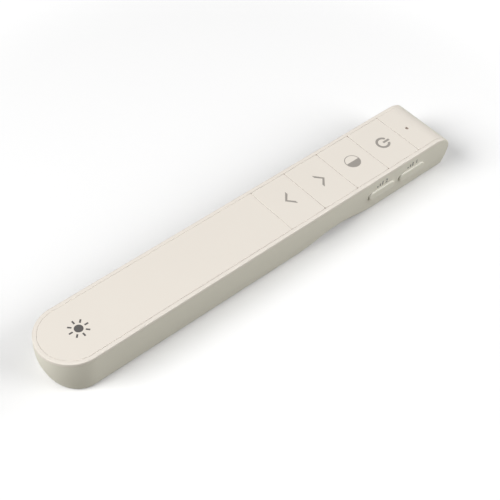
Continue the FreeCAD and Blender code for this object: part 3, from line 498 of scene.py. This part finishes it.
def rolled_group():
    """Rolled or drawn metal: fine lines along X and cloudy tarnish."""
    group, nodes, given, out = new_group("rolled metal", SKIN_INPUTS, SKIN_OUTPUTS)
    vector = nodes.place()[0]
    lines = nodes.noise(nodes.stretched(vector, LINE_SCALE), 1.0, LINE_DETAIL)
    cloud = nodes.noise(vector, CLOUD_SCALE, CLOUD_DETAIL)
    both = nodes.maths("MULTIPLY_ADD", lines, 0.5, nodes.maths("MULTIPLY", cloud, 0.5))
    join_skin(nodes, given, out, both, cloud, lines)
    return group


def new_material(name):
    """Empty node material with its shader."""
    material = bpy.data.materials.new(name)
    material.use_nodes = True
    return material, Nodes(material.node_tree), material.node_tree.nodes["Principled BSDF"]


def skin_of(nodes, group, light, dark, smooth, rough):
    """A skin group inside a material, with its two shades and two roughnesses."""
    skin = nodes.add("ShaderNodeGroup", node_tree=group)
    skin.inputs["Light"].default_value = (*light, 1)
    skin.inputs["Dark"].default_value = (*dark, 1)
    skin.inputs["Smooth"].default_value = smooth
    skin.inputs["Rough"].default_value = rough
    return skin


def raise_by(nodes, height, depth, shader):
    """Feeds a height into the shader's normal as a bump."""
    bump = nodes.add("ShaderNodeBump")
    bump.inputs["Distance"].default_value = depth
    nodes.put(height, bump.inputs["Height"])
    nodes.put(bump.outputs["Normal"], shader.inputs["Normal"])


def surfaced(name, group, light, dark, smooth, rough, depth, metallic=0.0, mask=None, masked=None):
    """Plastic or metal with a skin group's two shades and detail, and another shade under a mask."""
    material, nodes, shader = new_material(name)
    skin = skin_of(nodes, group, light, dark, smooth, rough)
    colour = skin.outputs["Color"]
    if mask:
        colour = nodes.mix(mask(nodes), colour, (*masked, 1))
    nodes.put(colour, shader.inputs["Base Color"])
    nodes.put(skin.outputs["Roughness"], shader.inputs["Roughness"])
    shader.inputs["Metallic"].default_value = metallic
    raise_by(nodes, skin.outputs["Height"], depth, shader)
    return material


def painted_seam_shade(nodes):
    """Painted shade in the seams round the keys, below their tops, apart from the seam at the grip."""
    vector, x, _, z = nodes.place()
    side = nodes.maths("LESS_THAN", z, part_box("key_power")[1].z - SEAM_SHADE_START)
    off_grip = nodes.maths("GREATER_THAN", x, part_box("key_down")[0].x + SEAM_REACH)
    off_nose = nodes.maths("LESS_THAN", x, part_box("head_panel")[0].x + SEAM_REACH)
    shaded = nodes.maths("MULTIPLY", side, nodes.maths("MULTIPLY", off_grip, off_nose))
    # Noise makes the painted seam shade patchy
    thickness = nodes.span(nodes.noise(vector, SEAM_SHADE_SCALE), SEAM_SHADE_LEAST, SEAM_SHADE_MOST)
    return nodes.maths("MULTIPLY", shaded, thickness)


def painted_edge_highlight(nodes):
    """Where the painted highlight lies: the rounded edge of a side button, behind its face."""
    face_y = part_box("side_button_1")[0].y
    return nodes.ramp(nodes.place()[2], face_y + EDGE_HIGHLIGHT_FROM, face_y + EDGE_HIGHLIGHT_TO)


def lens(nodes):
    """The lens on top of the light's body."""
    return nodes.maths("GREATER_THAN", nodes.place()[3], LENS_Z)


def clear_pin(group):
    """Smoked clear plastic, which looks dark until the light comes on."""
    material, nodes, shader = new_material("smoked clear plastic")
    skin = skin_of(nodes, group, *SMOKED_PLASTIC)
    nodes.put(skin.outputs["Color"], shader.inputs["Base Color"])
    nodes.put(skin.outputs["Roughness"], shader.inputs["Roughness"])
    shader.inputs["Transmission Weight"].default_value = PIN_TRANSMISSION
    shader.inputs["IOR"].default_value = PIN_IOR
    raise_by(nodes, skin.outputs["Height"], PIN_RELIEF, shader)
    return material


def board_tracks(nodes, x, y):
    """Copper on a grid: runs along X, shorter ones along Y, and round pads at some crossings."""
    column = nodes.step_of(x, TRACK_PITCH)
    row = nodes.step_of(y, TRACK_PITCH)
    off_x = nodes.off_middle(x, TRACK_PITCH)
    off_y = nodes.off_middle(y, TRACK_PITCH)
    long_run = nodes.chosen(nodes.step_of(x, LONG_RUN), row, LONG_SEED, LONG_SHARE)
    short_run = nodes.chosen(column, nodes.step_of(y, SHORT_RUN), SHORT_SEED, SHORT_SHARE)
    along = nodes.maths("MULTIPLY", nodes.maths("LESS_THAN", off_y, TRACK_HALF), long_run)
    across = nodes.maths("MULTIPLY", nodes.maths("LESS_THAN", off_x, TRACK_HALF), short_run)
    square_y = nodes.maths("MULTIPLY", off_y, off_y)
    apart = nodes.maths("SQRT", nodes.maths("MULTIPLY_ADD", off_x, off_x, square_y))
    crossing = nodes.chosen(column, row, PAD_SEED, PAD_SHARE)
    pads = nodes.maths("MULTIPLY", nodes.maths("LESS_THAN", apart, PAD_RADIUS), crossing)
    return nodes.maths("MAXIMUM", along, across), pads


def board_finish(group):
    """Green solder mask over copper tracks, tinned pads, bare laminate at the board's edge."""
    material, nodes, shader = new_material("board with green mask")
    x, y, z = nodes.place()[1:]
    tracks, pads = board_tracks(nodes, x, y)
    skin = skin_of(nodes, group, *SOLDER_MASK)
    green = nodes.mix(tracks, skin.outputs["Color"], (*TRACK_SHADE, 1))
    tinned = nodes.mix(pads, green, (*TIN_SHADE, 1))
    level = nodes.maths("ABSOLUTE", nodes.maths("SUBTRACT", z, (BOARD_LOW + BOARD_HIGH) / 2))
    edge = nodes.maths("LESS_THAN", level, BOARD_EDGE)
    nodes.put(nodes.mix(edge, tinned, (*LAMINATE_SHADE, 1)), shader.inputs["Base Color"])
    nodes.put(skin.outputs["Roughness"], shader.inputs["Roughness"])
    raise_by(nodes, nodes.maths("MAXIMUM", tracks, pads), TRACK_RELIEF, shader)
    return material


def can_finish(group):
    """Aluminium capacitor can with a dark sector on the minus side."""
    material, nodes, shader = new_material("capacitor can")
    x = nodes.place()[1]
    skin = skin_of(nodes, group, *ALUMINIUM)
    sector = nodes.maths("GREATER_THAN", x, SECTOR_FROM_X)
    colour = nodes.mix(sector, skin.outputs["Color"], (*SECTOR_SHADE, 1))
    nodes.put(colour, shader.inputs["Base Color"])
    nodes.put(nodes.maths("SUBTRACT", 1.0, sector), shader.inputs["Metallic"])
    nodes.put(skin.outputs["Roughness"], shader.inputs["Roughness"])
    raise_by(nodes, skin.outputs["Height"], CAN_RELIEF, shader)
    return material


def cell_finish(name, plus_x, minus_x, group):
    """Cell jacket in pale grey with a dark band at the plus end, both ends bare steel."""
    material, nodes, shader = new_material(name.replace("_", " ") + " jacket")
    x = nodes.place()[1]
    from_plus = nodes.maths("ABSOLUTE", nodes.maths("SUBTRACT", x, plus_x))
    band = nodes.maths("LESS_THAN", from_plus, CELL_BAND)
    low, high = sorted((plus_x, minus_x))
    inside = nodes.maths("MULTIPLY", nodes.maths("GREATER_THAN", x, low + CELL_RIM),
                         nodes.maths("LESS_THAN", x, high - CELL_RIM))
    skin = skin_of(nodes, group, *CELL_STEEL)
    jacket = nodes.mix(band, (*JACKET_SHADE, 1), (*BAND_SHADE, 1))
    nodes.put(nodes.mix(inside, skin.outputs["Color"], jacket), shader.inputs["Base Color"])
    less = nodes.maths("MULTIPLY", inside, JACKET_LESS_METALLIC)
    nodes.put(nodes.maths("SUBTRACT", 1.0, less), shader.inputs["Metallic"])
    nodes.put(skin.outputs["Roughness"], shader.inputs["Roughness"])
    raise_by(nodes, skin.outputs["Height"], CELL_RELIEF, shader)
    return material


def floor_finish():
    """Pale floor: white to the eye, duller in the light that it throws back, pure white further out."""
    material, nodes, shader = new_material("pale floor")
    shader.inputs["Roughness"].default_value = 1.0
    shader.inputs["Specular IOR Level"].default_value = 0.0
    path = nodes.add("ShaderNodeLightPath")
    seen = nodes.maths("MAXIMUM", path.outputs["Is Camera Ray"], path.outputs["Is Glossy Ray"])
    through = nodes.maths("MAXIMUM", seen, path.outputs["Is Transmission Ray"])
    nodes.put(nodes.mix(through, (*FLOOR_BOUNCE, 1), WHITE), shader.inputs["Base Color"])
    away = nodes.add("ShaderNodeVectorMath", operation="LENGTH")
    nodes.put(nodes.place()[0], away.inputs[0])
    fade = nodes.ramp(away.outputs["Value"], *FLOOR_FADE)
    shader.inputs["Emission Color"].default_value = WHITE
    glow = nodes.maths("MULTIPLY", fade, path.outputs["Is Camera Ray"])
    nodes.put(glow, shader.inputs["Emission Strength"])
    return material


def finishes():
    """Every material of the object, by its short name."""
    grain = grain_group()
    rolled = rolled_group()
    # Painted highlight on the buttons' edges, painted shade in the key seams, and the lens's own colour
    masks = {"button": (painted_edge_highlight, EDGE_HIGHLIGHT_COLOUR), "key": (painted_seam_shade, SEAM_SHADE_COLOUR),
             "light": (lens, LENS_SHADE)}
    made = {}
    for short_name, (name, *skin) in MOULDED.items():
        mask, masked = masks.get(short_name, (None, None))
        made[short_name] = surfaced(name, grain, *skin, mask=mask, masked=masked)
    for short_name, (name, *skin) in ROLLED.items():
        made[short_name] = surfaced(name, rolled, *skin, metallic=1.0)
    for cell, (plus_x, minus_x) in CELL_ENDS.items():
        made[cell] = cell_finish(cell, plus_x, minus_x, rolled)
    made["capacitor"] = can_finish(rolled)
    made["board"] = board_finish(grain)
    made["pin"] = clear_pin(grain)
    return made


# Which finish a node wears, by how its name begins
WEARS = {
    "bottom_shell": "shell", "battery_door": "shell", "side_button": "button",
    "top_frame": "face", "grip_panel": "face", "head_panel": "key", "key": "key",
    "circuit_board": "board", "status_led": "light", "light_pipe": "pin", "radio_chip": "chip",
    "crystal": "crystal", "capacitor": "capacitor", "cell_near": "cell_near", "cell_far": "cell_far",
    "contact": "nickel", "board_screws": "screw", "housing_screws": "screw",
    "switch": "switch", "side_switch": "switch", "plunger": "plunger", "side_plunger": "plunger",
}


def dress(made):
    """Gives every node its finish, by the longest name that it begins with."""
    for name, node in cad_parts.items():
        wears = max((start for start in WEARS if name.startswith(start)), key=len)
        node.data.materials.clear()
        node.data.materials.append(made[WEARS[wears]])


def add_marks(made):
    """Prints the symbols on keys and grip, and the numbers on the side."""
    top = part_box("key_power")[1].z
    marks = {"power": power_mark(), "dim": dim_mark(),
             "up": chevron_mark("up_mark", 1), "down": chevron_mark("down_mark", -1)}
    for key, mark in marks.items():
        x, aside = MARK_PLACES[key]
        print_on(mark, (x, MIDDLE_Y + aside, top), FACE_UP, "key_" + key, made["grey_ink"])
    print_on(sun_mark(), (SUN_X, MIDDLE_Y, top), FACE_UP, "housing", made["dark_ink"])
    wall_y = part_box("bottom_shell")[0].y
    for number in ("1", "2"):
        low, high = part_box("side_button_" + number)
        place = ((low.x + high.x) / 2, wall_y, LABEL_Z)
        print_on(side_label(number), place, FACE_NEAR, "housing", made["label_ink"])


def studio():
    """Floor, soft lamps and a white surrounding."""
    bpy.ops.object.select_all(action="DESELECT")
    bpy.ops.mesh.primitive_plane_add(size=FLOOR_SIZE, location=(0, 0, 0))
    floor = bpy.context.object
    floor.name = "floor"
    floor.data.materials.append(floor_finish())
    for name, (place, width, power) in LAMPS.items():
        bpy.ops.object.light_add(type="AREA", location=place)
        lamp = bpy.context.object
        lamp.name = name
        lamp.data.shape = "DISK"
        lamp.data.size = width
        lamp.data.energy = power
        lamp.rotation_euler = (-Vector(place)).to_track_quat("-Z", "Y").to_euler()
    world = bpy.data.worlds.new("studio")
    bpy.context.scene.world = world
    world.use_nodes = True
    nodes = Nodes(world.node_tree)
    sky = world.node_tree.nodes["Background"]
    sky.inputs["Color"].default_value = WHITE
    path = nodes.add("ShaderNodeLightPath")
    strength = nodes.span(path.outputs["Is Camera Ray"], SURROUNDING, 1.0)
    nodes.put(strength, sky.inputs["Strength"])


def camera():
    """Camera at the photograph's place and angle."""
    turn = [math.radians(angle) for angle in CAMERA_TURN]
    bpy.ops.object.camera_add(location=CAMERA_PLACE, rotation=turn)
    eye = bpy.context.object
    eye.name = "camera"
    eye.data.sensor_width = SENSOR
    eye.data.sensor_height = SENSOR
    eye.data.sensor_fit = "HORIZONTAL"
    eye.data.lens = CAMERA_LENS
    eye.data.clip_start = NEAREST_SEEN
    bpy.context.scene.camera = eye


def main():
    """Dresses the frame and sets the studio."""
    made = finishes()
    dress(made)
    add_marks(made)
    studio()
    camera()
    bpy.context.scene.view_settings.view_transform = "Standard"


main()
